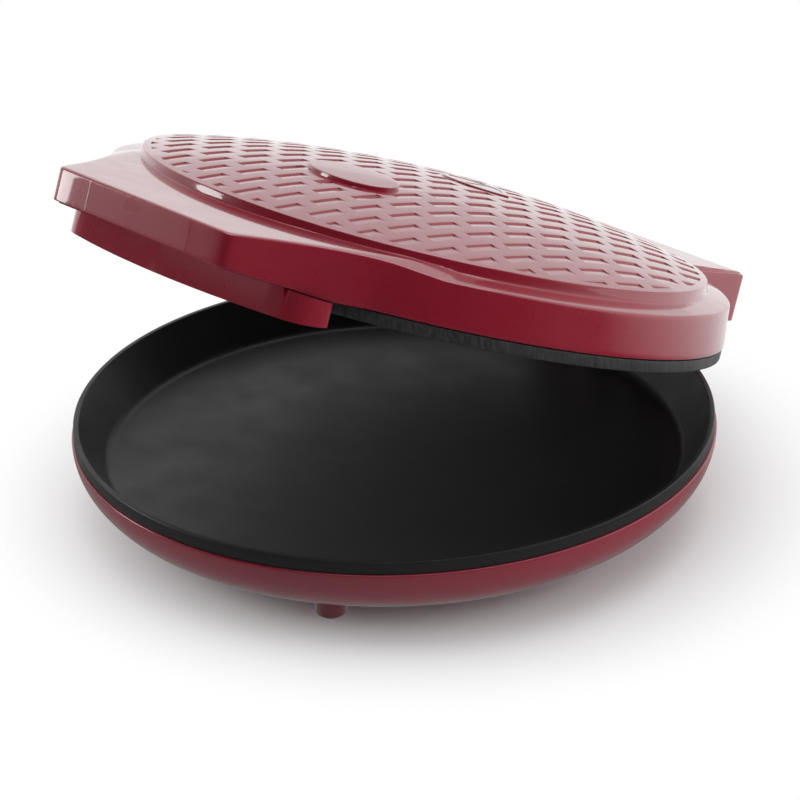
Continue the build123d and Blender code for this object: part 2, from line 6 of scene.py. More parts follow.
import bmesh
import bpy
import mathutils
import numpy as np
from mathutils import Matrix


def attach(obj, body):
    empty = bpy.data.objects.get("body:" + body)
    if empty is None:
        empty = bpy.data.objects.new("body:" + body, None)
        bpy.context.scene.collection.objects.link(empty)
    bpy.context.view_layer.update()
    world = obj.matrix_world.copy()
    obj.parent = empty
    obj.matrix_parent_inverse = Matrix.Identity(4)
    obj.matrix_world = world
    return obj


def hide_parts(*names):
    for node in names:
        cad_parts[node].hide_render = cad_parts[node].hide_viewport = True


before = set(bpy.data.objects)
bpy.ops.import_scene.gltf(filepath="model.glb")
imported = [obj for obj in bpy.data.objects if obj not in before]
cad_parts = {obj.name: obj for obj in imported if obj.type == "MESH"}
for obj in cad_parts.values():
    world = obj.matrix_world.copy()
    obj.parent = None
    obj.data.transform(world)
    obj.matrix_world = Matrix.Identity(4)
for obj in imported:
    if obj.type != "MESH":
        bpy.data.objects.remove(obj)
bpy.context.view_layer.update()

PAN_Y = -21.9337
HINGE_Y = 183.0
HINGE_Z = 49.0
AJAR = math.radians(21.4)

# Lid cover
DISC_R = 143.6
DISC_Z = 85.7
CROWN = 16.0
CROWN_R = (DISC_R ** 2 + CROWN ** 2) / (2 * CROWN)
CROWN_MID = DISC_Z + CROWN - CROWN_R
SHOULDER_R = 157.2
FLANGE_R = 159.2
FLANGE_Z = 56.7
HANDLE_Y = 195.0
HANDLE_HALF = 59.5
HANDLE_EDGE_Z = 79.5
ROOF_Z = 81.4
BEND_Y = 145.0
BEND_SLOPE = 0.134
BOX_HALF = 56.0
BOX_Y = 196.0
BOX_Z = 52.5
BOX_TOP_Z = 78.5
WALL = 2.5
SIDE_MIDDLE = (79.5, 150.0)      # on the handle's hollow side, as distances across and forward
SIDE_END = (119.5, 100.3)        # where that side runs into the round
HANDLE_END = -math.sin(math.radians(40.0))    # sine of the bearing of SIDE_END
HANDLE_CORNER = 5.0              # widths of the fillets between the outline's parts
BOX_CORNER = 2.2
JOIN_WIDE = 1.2
ROOF_FALL = 0.3147               # slope of the roof's side facets across the lid
ROOF_RISE = 0.1788               # and along it
SINK_Y = 112.0                   # the roof sinks behind this line
SINK_SLOPE = 0.04
TOP_FILLET = 1.3
LOWER_FILLET = 0.7
OUTLINE_POINTS = 1100

# Relief
PATTERN_TURN = math.radians(-1.2)
ROW_PITCH = 13.2
POCKET_PITCH = 26.0
POCKET_X = -6.0
POCKET_Y = -13.7
POCKET_HALF = 9.0
POCKET_HALF_WIDE = 3.3
POCKET_DEEP = 0.7
FIELD_R = 139.5

# Plates on the crown
BADGE_Y = -58.0
BADGE_HALF = 26.0
BADGE_WIDE = 17.5
BADGE_PROUD = 1.9
LAMP_Y = 32.0
LAMP_HALF = 23.0
LAMP_WIDE = 13.0
LENS_PROUD = 0.45
RIM_WIDE = 3.0                   # width of the lamp window's rim, along its sides and at its tips
RIM_TIP = 4.8
BAR_HALF = 1.0
PLATE_DEEP = 1.2


# Placing

def on_base(points):
    """Millimetres about the pan's axis to metres in the frame."""
    p = np.asarray(points, float).reshape(-1, 3)
    return (p + np.array([0.0, PAN_Y, 0.0])) * 0.001


def on_lid(points):
    """The closed lid's millimetres, turned about the hinge line by the angle it stands ajar, to
    metres in the frame."""
    p = np.asarray(points, float).reshape(-1, 3)
    y = p[:, 1] - HINGE_Y
    z = p[:, 2] - HINGE_Z
    turned_y = HINGE_Y + y * math.cos(AJAR) + z * math.sin(AJAR)
    turned_z = HINGE_Z - y * math.sin(AJAR) + z * math.cos(AJAR)
    return on_base(np.stack([p[:, 0], turned_y, turned_z], -1))


# Mesh tools

def piece(name, points, faces, material, body, sharp=32.0, outward=True):
    """An object from points in metres and index arrays of triangles or quads. Doubles are merged,
    and edges sharper than the angle stay crisp."""
    mesh = bpy.data.meshes.new(name)
    flat = np.concatenate([f.ravel() for f in faces]).astype(np.int32)
    sizes = np.concatenate([np.full(len(f), f.shape[1]) for f in faces])
    starts = np.concatenate([[0], np.cumsum(sizes)[:-1]]).astype(np.int32)
    mesh.vertices.add(len(points))
    mesh.vertices.foreach_set("co", np.asarray(points, np.float32).ravel())
    mesh.loops.add(len(flat))
    mesh.loops.foreach_set("vertex_index", flat)
    mesh.polygons.add(len(sizes))
    mesh.polygons.foreach_set("loop_start", starts)
    mesh.update(calc_edges=True)
    return finish_piece(name, mesh, material, body, sharp, outward)


def finish_piece(name, mesh, material, body, sharp, outward):
    """Merges doubles, marks crisp edges, gives the mesh its material and lets it ride on a body."""
    work = bmesh.new()
    work.from_mesh(mesh)
    bmesh.ops.remove_doubles(work, verts=work.verts, dist=2e-6)
    bmesh.ops.dissolve_degenerate(work, edges=work.edges, dist=1e-7)
    if outward:
        bmesh.ops.recalc_face_normals(work, faces=work.faces)
    work.to_mesh(mesh)
    work.free()
    mesh.polygons.foreach_set("use_smooth", np.ones(len(mesh.polygons), bool))
    mesh.set_sharp_from_angle(angle=math.radians(sharp))
    mesh.materials.clear()
    mesh.materials.append(material)
    made = bpy.data.objects.new(name, mesh)
    bpy.context.scene.collection.objects.link(made)
    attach(made, body)
    return made


def grid_faces(rows, columns, wrap_rows=False, wrap_columns=False, start=0):
    """Quads of a grid whose point (i, j) is number start + i * columns + j."""
    i = np.arange(rows if wrap_rows else rows - 1)
    j = np.arange(columns if wrap_columns else columns - 1)
    i, j = np.meshgrid(i, j, indexing="ij")
    i2 = (i + 1) % rows
    j2 = (j + 1) % columns
    quads = np.stack([i * columns + j, i2 * columns + j, i2 * columns + j2, i * columns + j2], -1)
    return quads.reshape(-1, 4) + start


def rounded(corners, steps=5):
    """A closed or open outline of (a, b, radius) corners as points. Each corner becomes an arc that
    touches both of its sides."""
    points = []
    count = len(corners)
    for k, (a, b, radius) in enumerate(corners):
        here = np.array([a, b], float)
        if radius <= 0:
            points.append(here[None])
            continue
        before = np.array(corners[k - 1][:2], float) - here
        after = np.array(corners[(k + 1) % count][:2], float) - here
        before /= np.linalg.norm(before)
        after /= np.linalg.norm(after)
        half = math.acos(float(np.clip(before @ after, -1, 1))) / 2
        reach = radius / math.tan(half)
        middle = here + (before + after) / np.linalg.norm(before + after) * radius / math.sin(half)
        start = here + before * reach - middle
        end = here + after * reach - middle
        t = np.linspace(0, 1, steps)[:, None]
        arc = start * np.sin((1 - t) * (math.pi / 2 - half) * 2) + end * np.sin(t * (math.pi / 2 - half) * 2)
        arc = arc / np.linalg.norm(arc, axis=1, keepdims=True) * radius
        points.append(middle + arc)
    return np.concatenate(points)


def lathe(name, outline, material, body, place, count=256, sharp=32.0):
    """A closed (radius, height) outline carried round the pan's axis."""
    turn = np.linspace(0, 2 * math.pi, count, endpoint=False)[:, None]
    r = outline[None, :, 0]
    z = np.broadcast_to(outline[None, :, 1], (count, len(outline)))
    points = np.stack([r * np.cos(turn), r * np.sin(turn), z], -1)
    faces = grid_faces(count, len(outline), True, True)
    return piece(name, place(points), [faces], material, body, sharp)


def prism(name, outline, spans, material, body, place, bevel=0.5):
    """Prisms along X from one closed (y, z) outline, one for each span of x."""
    points = []
    faces = []
    count = len(outline)
    ring = np.arange(count)
    for k, (low, high) in enumerate(spans):
        ends = [np.column_stack([np.full(count, x), outline]) for x in (low, high)]
        points += ends
        start = 2 * count * k
        faces.append(grid_faces(2, count, False, True, start))
        for side in (0, 1):
            centre = 2 * count * len(spans) + 2 * k + side
            fan = np.stack([ring, (ring + 1) % count], -1) + start + side * count
            faces.append(np.column_stack([fan, np.full(count, centre)]))
    centres = [[x, *outline.mean(0)] for span in spans for x in span]
    points.append(np.array(centres))
    made = piece(name, place(np.concatenate(points)), faces, material, body)
    if bevel:
        cut = made.modifiers.new("edges", "BEVEL")
        cut.width = bevel * 0.001
        cut.segments = 2
        cut.angle_limit = math.radians(40)
    return made


def smooth_copy(name, node, material, body, sharp=32.0):
    """A merged copy of a CAD node, with smooth curved faces and crisp edges."""
    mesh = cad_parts[node].data.copy()
    mesh.name = name
    made = finish_piece(name, mesh, material, body, sharp, False)
    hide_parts(node)
    return made


def smooth_max(a, b, width):
    """The larger of two heights, with a fillet of about that width where they cross."""
    return 0.5 * (a + b + np.sqrt((a - b) ** 2 + width * width))


def crown_height(x, y):
    """Height of the ball that the lid's crown is a cap of."""
    return CROWN_MID + np.sqrt(CROWN_R ** 2 - x * x - y * y)


# Materials

def new_material(name):
    """A material with its nodes, its links and its shader."""
    material = bpy.data.materials.new(name)
    material.use_nodes = True
    nodes, links = material.node_tree.nodes, material.node_tree.links
    return material, nodes, links, nodes["Principled BSDF"]


def object_noise(nodes, links, scale, detail=3.0, stretch=(1, 1, 1), turn=(0, 0, 0)):
    """Noise on Object coordinates, stretched and turned by a Mapping node."""
    place = nodes.new("ShaderNodeTexCoord")
    mapping = nodes.new("ShaderNodeMapping")
    mapping.inputs["Scale"].default_value = stretch
    mapping.inputs["Rotation"].default_value = turn
    noise = nodes.new("ShaderNodeTexNoise")
    noise.inputs["Scale"].default_value = scale
    noise.inputs["Detail"].default_value = detail
    links.new(place.outputs["Object"], mapping.inputs["Vector"])
    links.new(mapping.outputs["Vector"], noise.inputs["Vector"])
    return noise


def tint(nodes, links, noise, dark, light, target, low=0.3, high=0.7):
    """Colour that runs from dark to light with the noise."""
    ramp = nodes.new("ShaderNodeValToRGB")
    ramp.color_ramp.elements[0].position = low
    ramp.color_ramp.elements[1].position = high
    ramp.color_ramp.elements[0].color = (*dark, 1)
    ramp.color_ramp.elements[1].color = (*light, 1)
    links.new(noise.outputs["Fac"], ramp.inputs["Fac"])
    links.new(ramp.outputs["Color"], target)


def spread(nodes, links, noise, low, high, target):
    """A number that runs from low to high with the noise."""
    scale = nodes.new("ShaderNodeMapRange")
    scale.inputs["From Min"].default_value = 0.3
    scale.inputs["From Max"].default_value = 0.7
    scale.inputs["To Min"].default_value = low
    scale.inputs["To Max"].default_value = high
    links.new(noise.outputs["Fac"], scale.inputs["Value"])
    links.new(scale.outputs["Result"], target)


def grain_bump(nodes, links, noise, strength, distance, shader):
    """Fine bumps from the noise."""
    bump = nodes.new("ShaderNodeBump")
    bump.inputs["Strength"].default_value = strength
    bump.inputs["Distance"].default_value = distance
    links.new(noise.outputs["Fac"], bump.inputs["Height"])
    links.new(bump.outputs["Normal"], shader.inputs["Normal"])


def crimson_plastic(name, dark, light, rough, coat, coat_rough, grain):
    """Moulded plastic: faint drift of the pigment, fine grain and a clear hard skin."""
    material, nodes, links, shader = new_material(name)
    drift = object_noise(nodes, links, 9.0)
    tint(nodes, links, drift, dark, light, shader.inputs["Base Color"])
    smear = object_noise(nodes, links, 60.0)
    spread(nodes, links, smear, rough * 0.85, rough * 1.15, shader.inputs["Roughness"])
    shader.inputs["IOR"].default_value = 1.5
    shader.inputs["Coat Weight"].default_value = coat
    shader.inputs["Coat Roughness"].default_value = coat_rough
    shader.inputs["Coat IOR"].default_value = 1.75
    fine = object_noise(nodes, links, 1400.0, 2.0)
    grain_bump(nodes, links, fine, grain, 0.00004, shader)
    return material


def non_stick(name, dark, light, rough, streaks=False):
    """Black coating: fine light specks, and faint streaks up a turned edge."""
    material, nodes, links, shader = new_material(name)
    if streaks:
        grain = object_noise(nodes, links, 1.0, 2.0, (900, 900, 25), (AJAR, 0, 0))
    else:
        grain = object_noise(nodes, links, 1500.0, 2.0)
    tint(nodes, links, grain, dark, light, shader.inputs["Base Color"], 0.35, 0.75)
    cloud = object_noise(nodes, links, 40.0)
    spread(nodes, links, cloud, rough * 0.85, rough * 1.15, shader.inputs["Roughness"])
    shader.inputs["Specular IOR Level"].default_value = 0.45
    grain_bump(nodes, links, grain, 0.25, 0.00006, shader)
    return material


def plain_finish(name, dark, light, rough, metal=0.0, scale=200.0, stretch=(1, 1, 1), bump=0.1):
    """Metal, rubber or ceramic with one grain that drives colour, roughness and bump."""
    material, nodes, links, shader = new_material(name)
    grain = object_noise(nodes, links, scale, 3.0, stretch)
    tint(nodes, links, grain, dark, light, shader.inputs["Base Color"])
    spread(nodes, links, grain, rough * 0.8, rough * 1.2, shader.inputs["Roughness"])
    shader.inputs["Metallic"].default_value = metal
    grain_bump(nodes, links, grain, bump, 0.0001, shader)
    return material


def tinted_lens(name, dark, light):
    """Clear tinted plastic with a soft inner cloud."""
    material, nodes, links, shader = new_material(name)
    cloud = object_noise(nodes, links, 120.0)
    tint(nodes, links, cloud, dark, light, shader.inputs["Base Color"])
    spread(nodes, links, cloud, 0.08, 0.14, shader.inputs["Roughness"])
    shader.inputs["Transmission Weight"].default_value = 0.45
    shader.inputs["IOR"].default_value = 1.49
    shader.inputs["Coat Weight"].default_value = 0.5
    shader.inputs["Coat Roughness"].default_value = 0.03
    return material


cover_red = crimson_plastic("cover_red", (0.255, 0.004, 0.020), (0.285, 0.006, 0.025),
                            0.3, 1.0, 0.05, 0.05)
casing_red = crimson_plastic("casing_red", (0.235, 0.007, 0.024), (0.265, 0.009, 0.03),
                             0.36, 0.8, 0.12, 0.1)
pan_black = non_stick("pan_black", (0.012, 0.012, 0.0125), (0.022, 0.022, 0.023), 0.38)
plate_black = non_stick("plate_black", (0.02, 0.02, 0.021), (0.05, 0.05, 0.052), 0.45, True)
cover_black = plain_finish("cover_black", (0.018, 0.018, 0.019), (0.03, 0.03, 0.031), 0.6,
                           0.0, 700.0, bump=0.3)
rubber_black = plain_finish("rubber_black", (0.02, 0.02, 0.02), (0.035, 0.034, 0.034), 0.75,
                            0.0, 500.0, bump=0.3)
sheet_steel = plain_finish("sheet_steel", (0.5, 0.5, 0.5), (0.62, 0.62, 0.61), 0.3,
                           1.0, 30.0, (1, 20, 1), 0.05)
tube_steel = plain_finish("tube_steel", (0.2, 0.17, 0.14), (0.36, 0.33, 0.29), 0.4, 1.0, 80.0)
screw_steel = plain_finish("screw_steel", (0.5, 0.5, 0.48), (0.64, 0.64, 0.6), 0.32, 1.0, 300.0)
ceramic_tan = plain_finish("ceramic_tan", (0.45, 0.42, 0.36), (0.56, 0.52, 0.46), 0.6, 0.0, 300.0)
block_white = plain_finish("block_white", (0.62, 0.61, 0.57), (0.72, 0.71, 0.67), 0.5, 0.0, 200.0)
board_tan = plain_finish("board_tan", (0.2, 0.15, 0.06), (0.28, 0.21, 0.09), 0.5, 0.0, 200.0)
lens_red = tinted_lens("lens_red", (0.35, 0.01, 0.02), (0.5, 0.02, 0.03))
lens_green = tinted_lens("lens_green", (0.10, 0.33, 0.27), (0.2, 0.47, 0.40))


# Lid cover

def badge_half_width(x, grow=0.0):
    """Half the width of the badge's oval, at x across the lid."""
    share = np.clip(np.abs(x) / (BADGE_HALF + grow), 0, 1)
    return (BADGE_WIDE + grow) * np.sqrt(1 - share * share)


def lamp_half_width(x, grow=0.0):
    """Half the width of the lamps' pointed oval of two arcs, at x across the lid."""
    tip = LAMP_HALF + grow * 1.6
    wide = LAMP_WIDE + grow
    radius = (tip * tip + wide * wide) / (2 * wide)
    x = np.clip(np.abs(x), 0, tip)
    return np.maximum(np.sqrt(radius ** 2 - x * x) - (radius - wide), 0.0)


def in_plate(x, y, grow):
    """Where the two plates are, in the lid's own x and y, grown by a margin."""
    badge = (np.abs(y - BADGE_Y) < badge_half_width(x, grow)) & (np.abs(x) < BADGE_HALF + grow)
    lamp = (np.abs(y - LAMP_Y) < lamp_half_width(x, grow)) & (np.abs(x) < LAMP_HALF + grow * 1.6)
    return badge, lamp


def pocket_depth(u, v, x, y):
    """Depth of the relief at (u, v) in the pattern, which is (x, y) on the lid. Rows stand one pitch
    apart across, every other one shifted by half a pocket pitch. Across, a pocket drops at its -u
    wall and runs out towards +u; along, it has square ends. The two plates are let in."""
    row = np.round((u - POCKET_X) / ROW_PITCH)
    across = u - POCKET_X - row * ROW_PITCH
    first = POCKET_Y + np.where(row % 2 == 1, POCKET_PITCH / 2, 0.0)
    along = v - first - np.round((v - first) / POCKET_PITCH) * POCKET_PITCH
    w = POCKET_HALF_WIDE
    wedge = np.interp(across, [-w - 0.45, -w - 0.12, -w + 0.12, -w + 0.45, w - 0.2, w + 0.3],
                      [0, 0.06, 0.94, 1.0, 0.02, 0])
    ends = np.interp(np.abs(along) - POCKET_HALF, [-0.45, -0.12, 0.12, 0.45], [1, 0.94, 0.06, 0])
    depth = POCKET_DEEP * wedge * ends
    badge, lamp = in_plate(x, y, 1.0)
    depth = np.where(badge | lamp, 0.0, depth)
    badge, lamp = in_plate(x, y, -1.4)
    return np.where(badge, PLATE_DEEP, np.where(lamp, 4.0, depth))


def disc_points():
    """The crowned disc out to the circle that bounds the relief. Grid lines run along every pocket
    wall. Points past the circle are moved onto it, and the cells beyond it are dropped."""
    w = POCKET_HALF_WIDE
    across = np.array([-6.6, -w - 0.45, -w - 0.12, -w + 0.12, -w + 0.45, -1.3, 1.0, w - 0.2, w + 0.3])
    along = np.array([-5.6, -4.45, -4.12, -3.88, -3.55, -1.6, 1.6, 3.55, 3.88, 4.12, 4.45, 5.6])
    rows = np.arange(-13, 14)
    xs = (POCKET_X + rows[:, None] * ROW_PITCH + across).ravel()
    ys = (POCKET_Y + rows[:, None] * POCKET_PITCH / 2 + along).ravel()
    xs = xs[np.abs(xs) < FIELD_R + 7]
    ys = ys[np.abs(ys) < FIELD_R + 7]
    u, v = np.meshgrid(xs, ys, indexing="ij")
    outside = np.hypot(u, v) >= FIELD_R
    quads = grid_faces(len(xs), len(ys))
    quads = quads[~outside.ravel()[quads].all(1)]
    steep = np.abs(v) > np.abs(u)
    u_limit = np.sqrt(np.maximum(FIELD_R ** 2 - v * v, 0))
    v_limit = np.sqrt(np.maximum(FIELD_R ** 2 - u * u, 0))
    u2 = np.where(outside & ~steep, np.sign(u) * u_limit, u)
    v2 = np.where(outside & steep, np.sign(v) * v_limit, v)
    used, quads = np.unique(quads, return_inverse=True)
    quads = quads.reshape(-1, 4)
    u2 = u2.ravel()[used]
    v2 = v2.ravel()[used]
    rim = outside.ravel()[used]
    x2 = u2 * math.cos(PATTERN_TURN) - v2 * math.sin(PATTERN_TURN)
    y2 = u2 * math.sin(PATTERN_TURN) + v2 * math.cos(PATTERN_TURN)
    z = crown_height(x2, y2) - pocket_depth(u2, v2, x2, y2)
    points = np.stack([x2, y2, z], -1)
    order = np.flatnonzero(rim)
    angle = np.arctan2(y2[order], x2[order])
    order = order[np.argsort(angle)]
    angle = np.sort(angle)
    keep = np.concatenate([[True], np.diff(angle) > 1e-7])
    return points, quads, order[keep], angle[keep]


def side_arc(first, middle, last):
    """Centre and radius of the circle through three points."""
    (ax, ay), (bx, by), (cx, cy) = first, middle, last
    d = 2 * (ax * (by - cy) + bx * (cy - ay) + cx * (ay - by))
    a2, b2, c2 = ax * ax + ay * ay, bx * bx + by * by, cx * cx + cy * cy
    ux = (a2 * (by - cy) + b2 * (cy - ay) + c2 * (ay - by)) / d
    uy = (a2 * (cx - bx) + b2 * (ax - cx) + c2 * (bx - ax)) / d
    return np.array([ux, uy]), math.hypot(ax - ux, ay - uy)


def outline_radius(angle, round_r):
    """Distance from the pan's axis to the cover's outline: the round, the handle with its flat front
    and hollow sides, and the hinge box, joined with small fillets."""
    c, s = np.abs(np.cos(angle)), np.sin(angle)
    centre, radius = side_arc((HANDLE_HALF, HANDLE_Y), SIDE_MIDDLE, SIDE_END)
    forward = np.maximum(-s, 1e-6)
    b = c * centre[0] + forward * centre[1]
    reach = b * b - (centre @ centre - radius ** 2)
    side = np.where(reach > 0, b - np.sqrt(np.maximum(reach, 0)), 1e4)
    side = np.where((s < 0) & (side > 0), side, 0.0)
    front = HANDLE_Y / forward
    handle = -smooth_max(-side, -front, HANDLE_CORNER)
    handle = np.where((s < HANDLE_END) & (side > 0), handle, 0.0)
    back = np.maximum(s, 1e-6)
    box = -smooth_max(-BOX_HALF / np.maximum(c, 1e-6), -BOX_Y / back, BOX_CORNER)
    box = np.where(s > 0.8, box, 0.0)
    out = smooth_max(np.full_like(angle, round_r), handle, JOIN_WIDE)
    return np.maximum(out, box)


def outline_angles(count):
    """Angles that space the outline's points evenly, and closer where it bends."""
    fine = np.linspace(-math.pi, math.pi, 60001)
    r = outline_radius(fine, FLANGE_R)
    x, y = r * np.cos(fine), r * np.sin(fine)
    step = np.hypot(np.diff(x), np.diff(y))
    heading = np.unwrap(np.arctan2(np.diff(y), np.diff(x)))
    bend = np.abs(np.diff(heading, prepend=heading[:1]))
    weight = np.concatenate([[0], np.cumsum(step + 14.0 * np.minimum(bend, 0.3))])
    return np.interp(np.linspace(0, weight[-1], count, endpoint=False), weight, fine)


def roof_height(x, y):
    """Height of the handle's top: it slopes to the front edge and falls to both sides, and sinks
    under the shoulder behind the handle."""
    middle = ROOF_Z - (ROOF_Z - HANDLE_EDGE_Z) * (-y - DISC_R) / (HANDLE_Y - DISC_R)
    side = HANDLE_EDGE_Z - ROOF_FALL * (np.abs(x) - HANDLE_HALF) + ROOF_RISE * (y + HANDLE_Y)
    both = -smooth_max(-middle, -side, 1.0)
    return both - SINK_SLOPE * np.maximum(0.0, y + SINK_Y)


def box_height(x, y):
    """Height of the hinge box's top, with sides that slope into the shoulder."""
    top = np.interp(y, [90.0, 150.0, BOX_Y], [82.5, 80.5, BOX_TOP_Z])
    top = top - 1.2 * np.maximum(0.0, np.abs(x) - (BOX_HALF - 3.0))
    return np.where(y > 100.0, top, 0.0)


# Fall below the crown's edge, outwards from the disc: a rounded edge, the step and the shoulder
STEP_R = DISC_R + np.array([-4.5, -0.7, -0.28, -0.02, 0.12, 0.4, 0.75, 1.1, 1.5, 2.2, 13.2])
STEP_DROP = np.array([0.0, 0.0, 0.09, 0.34, 0.75, 2.4, 4.1, 5.1, 5.5, 5.75, 8.1])


def top_height(x, y):
    """Height of the cover outside the relief: the highest of the crown with the step and shoulder
    round it, the handle's top and the hinge box's top."""
    r = np.hypot(x, y)
    edge = np.minimum(r, DISC_R - 0.7)
    round_top = CROWN_MID + np.sqrt(CROWN_R ** 2 - edge * edge) - np.interp(r, STEP_R, STEP_DROP)
    limit = CROWN_MID + np.sqrt(CROWN_R ** 2 - edge * edge) - 0.02 * np.maximum(0, r - DISC_R + 0.7)
    roof = np.minimum(roof_height(x, y), limit)
    top = smooth_max(round_top, np.minimum(box_height(x, y), limit), 0.25)
    return np.where(y < -60.0, np.minimum(smooth_max(top, roof, 0.3), limit), top)


def cover_skirt(angles):
    """Columns of points, one for each angle: over the step and shoulder, round the top edge, down
    the wall, round the lower edge, up the inside and in under the crown to the pole."""
    c, s = np.cos(angles)[:, None], np.sin(angles)[:, None]
    low_r = outline_radius(angles, FLANGE_R)[:, None]
    top_r = outline_radius(angles, SHOULDER_R)[:, None]
    fillet = TOP_FILLET
    low_fillet = LOWER_FILLET
    start = DISC_R + np.array([-3.0, -1.8, -0.7, -0.5, -0.28, -0.14, -0.02, 0.06, 0.12, 0.25, 0.4,
                               0.57, 0.75, 0.92, 1.1, 1.3, 1.5, 1.85, 2.2, 3.0])
    share = np.array([0.08, 0.16, 0.24, 0.32, 0.4, 0.48, 0.56, 0.64, 0.72, 0.79, 0.86, 0.92, 0.97, 1.0])
    inner = np.broadcast_to(start, (len(angles), len(start)))
    outer = start[-1] + (top_r - fillet - start[-1]) * share
    r = np.concatenate([inner, outer], 1)
    z = top_height(r * c, r * s)
    edge_z = z[:, -1:]
    bend = np.radians([15, 30, 45, 60, 75, 90])
    arc_r = top_r - fillet + fillet * np.sin(bend)
    arc_z = edge_z - fillet + fillet * np.cos(bend) - 0.12 * np.sin(2 * bend)
    ahead = np.maximum(0.0, -low_r * s - BEND_Y)
    on_box = (np.abs(low_r * c) < BOX_HALF + 0.5) & (low_r * s > 152.0)
    low_z = np.where(on_box, BOX_Z, FLANGE_Z + BEND_SLOPE * ahead)
    fall = np.array([0.12, 0.3, 0.5, 0.7, 0.9, 1.0])
    wall_top = edge_z - fillet
    wall_z = wall_top + (low_z + low_fillet - wall_top) * fall
    wall_r = top_r + (low_r - top_r) * fall
    lip = np.radians([30, 60, 90])
    lip_r = low_r - low_fillet + low_fillet * np.cos(lip)
    lip_z = low_z + low_fillet - low_fillet * np.sin(lip)
    inside_r = np.concatenate([low_r - WALL, low_r - WALL, top_r - WALL - 1.0], 1)
    inside_z = np.concatenate([low_z, low_z + 3.0, edge_z - WALL - 1.0], 1)
    under_r = np.array([DISC_R - 3.0, DISC_R - 4.0, 110.0, 70.0, 30.0, 0.0])
    under_z = np.concatenate([[76.5, 81.5], crown_height(under_r[2:], 0.0) - WALL])
    under_r = np.broadcast_to(under_r, (len(angles), 6))
    under_z = np.broadcast_to(under_z, (len(angles), 6))
    r = np.concatenate([r, arc_r, wall_r, lip_r, inside_r, under_r], 1)
    z = np.concatenate([z, arc_z, wall_z, lip_z, inside_z, under_z], 1)
    return np.stack([r * c, r * s, z], -1)


def zip_rings(first, first_angle, second, second_angle):
    """Triangles between two rings of point numbers, merged by angle."""
    a, b = len(first), len(second)
    j = np.searchsorted(second_angle, np.append(first_angle[1:], np.inf), side="right") - 1
    tri_a = np.stack([first, np.roll(first, -1), second[j % b]], -1)
    i = np.searchsorted(first_angle, second_angle, side="right") - 1
    tri_b = np.stack([np.roll(second, 1), second, first[i % a]], -1)
    return np.concatenate([tri_a, tri_b[:, [1, 0, 2]]])


def build_cover():
    """The cover as one mesh: the relief, a low wall round it, and the skirt out to the outline."""
    disc, quads, rim, rim_angle = disc_points()
    angles = outline_angles(OUTLINE_POINTS)
    columns = cover_skirt(angles)
    high = np.stack([FIELD_R * np.cos(rim_angle), FIELD_R * np.sin(rim_angle)], -1)
    lip = high * (FIELD_R + 0.25) / FIELD_R
    lip = np.column_stack([lip, crown_height(lip[:, 0], lip[:, 1])])
    n0 = len(disc)
    n1 = n0 + len(lip)
    ring = np.arange(len(rim))
    walls = np.stack([rim, np.roll(rim, -1), n0 + (ring + 1) % len(ring), n0 + ring], -1)
    m, k = columns.shape[:2]
    skirt = grid_faces(m, k, True, False, n1)
    first = n1 + np.arange(m) * k
    zipped = zip_rings(n0 + ring, rim_angle, first, angles)
    points = np.concatenate([disc, lip, columns.reshape(-1, 3)])
    made = piece("lid_shell", on_lid(points), [quads, walls, skirt, zipped], cover_red, "lid", 28.0)
    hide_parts("lid_cover")
    return made


build_cover()


# Plates on the crown

def crown_strip(name, middle, half_width, spans, ring, material, node):
    """A body that follows the crown: at each x of its span, the closed ring of (share of the half
    width, inset, height over the crown) is laid out between the oval's two arcs."""
    grow, x0, x1 = spans
    t = 0.5 - 0.5 * np.cos(np.linspace(0, math.pi, 61))
    x = (x0 + (x1 - x0) * t)[:, None]
    share = np.array([q[0] for q in ring])
    inset = np.array([q[1] for q in ring])
    height = np.array([q[2] for q in ring])
    half = half_width(x, grow)
    y = np.sign(share) * np.maximum(np.abs(share) * half - inset, 0) + middle
    xx = np.broadcast_to(x, y.shape)
    end = np.minimum(1.0, half / 0.8)
    z = crown_height(xx, y) + np.where(height > 0, height * np.sqrt(end), height)
    points = np.stack([xx, y, z], -1)
    body = grid_faces(len(x), len(ring), False, True)
    caps = []
    n = len(ring)
    for first in (0, (len(x) - 1) * n):
        half_ring = np.arange(n // 2 - 1)
        caps.append(np.stack([half_ring, half_ring + 1, n - 2 - half_ring, n - 1 - half_ring], -1) + first)
    made = piece(name, on_lid(points), [body] + caps, material, "lid", 40.0)
    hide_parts(node)
    return made


def plate_ring(proud, deep, edge):
    """Closed ring: under side, rounded near edge, top, rounded far edge."""
    shares = np.linspace(-0.9, 0.9, 13)
    top = [(-1, 0, proud - edge), (-1, edge * 0.3, proud - edge * 0.3), (-1, edge, proud)]
    top += [(s, 0, proud) for s in shares]
    top += [(1, edge, proud), (1, edge * 0.3, proud - edge * 0.3), (1, 0, proud - edge)]
    under = [(s, 0, -deep) for s in np.linspace(1, -1, len(top))]
    return top + under


crown_strip("badge_oval", BADGE_Y, badge_half_width, (0.0, -BADGE_HALF, BADGE_HALF),
            plate_ring(BADGE_PROUD, PLATE_DEEP, 0.35),
            cover_red, "badge_plate")
inner_tip = LAMP_HALF - RIM_TIP
lens_ring = plate_ring(LENS_PROUD, PLATE_DEEP, 0.2)
crown_strip("lens_left", LAMP_Y, lamp_half_width, (-RIM_WIDE, -inner_tip, -BAR_HALF), lens_ring,
            lens_red, "red_lens")
crown_strip("lens_right", LAMP_Y, lamp_half_width, (-RIM_WIDE, BAR_HALF, inner_tip), lens_ring,
            lens_green, "green_lens")


